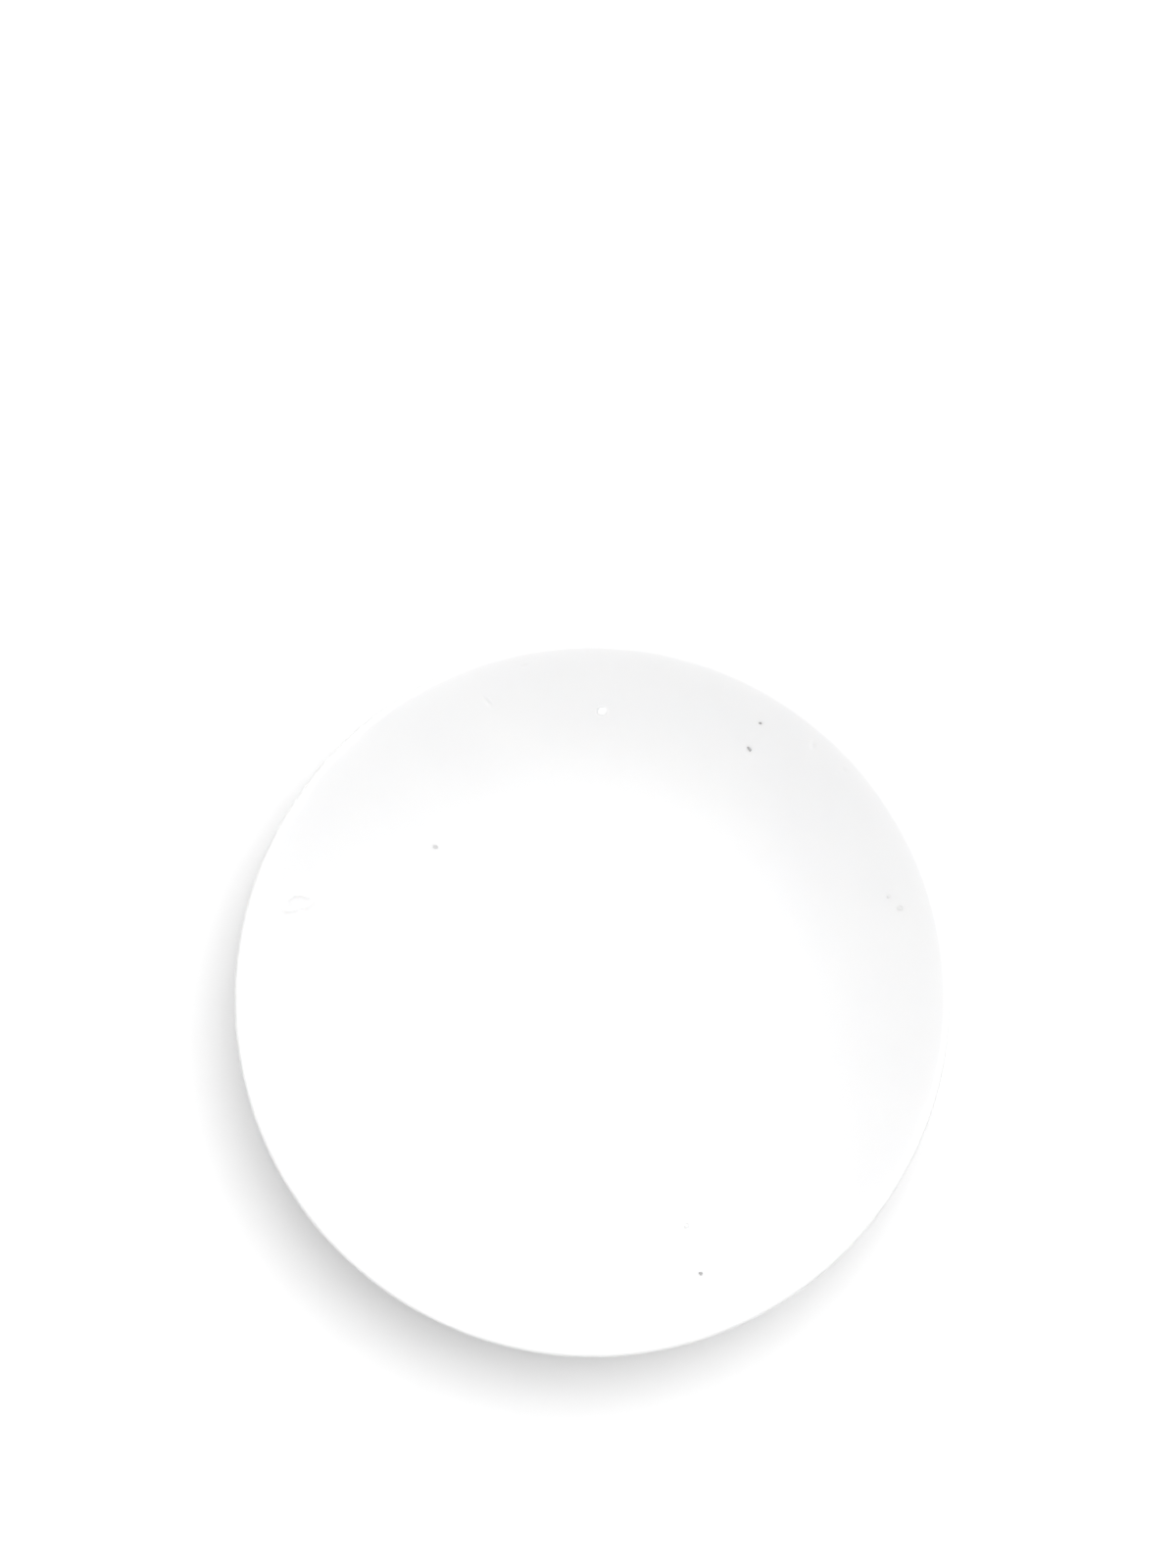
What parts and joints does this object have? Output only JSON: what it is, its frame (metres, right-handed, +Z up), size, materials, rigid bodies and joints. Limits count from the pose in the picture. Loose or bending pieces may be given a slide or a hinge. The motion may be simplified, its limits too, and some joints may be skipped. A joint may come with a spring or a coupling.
{
  "type": "shaving soap puck",
  "caption": "Round cake of hard white shaving soap with a shallow dished top, a soft lip, a plain cylindrical side and a flat underside.",
  "frame": {"origin": "centre of the flat underside, where the puck stands", "axes": "+Z up along the puck's axis, out of the dished top; +X and +Y lie in the underside, and only the small specks on the top tell one direction from another"},
  "size_m": [0.07, 0.07, 0.0166],
  "materials": {
    "soap": "satin",
    "fleck": "matte",
    "crumb": "satin"
  },
  "bodies": {
    "root": {"soap_puck": "soap", "dark_flecks": "fleck", "soap_crumb": "crumb"}
  },
  "joints": []
}
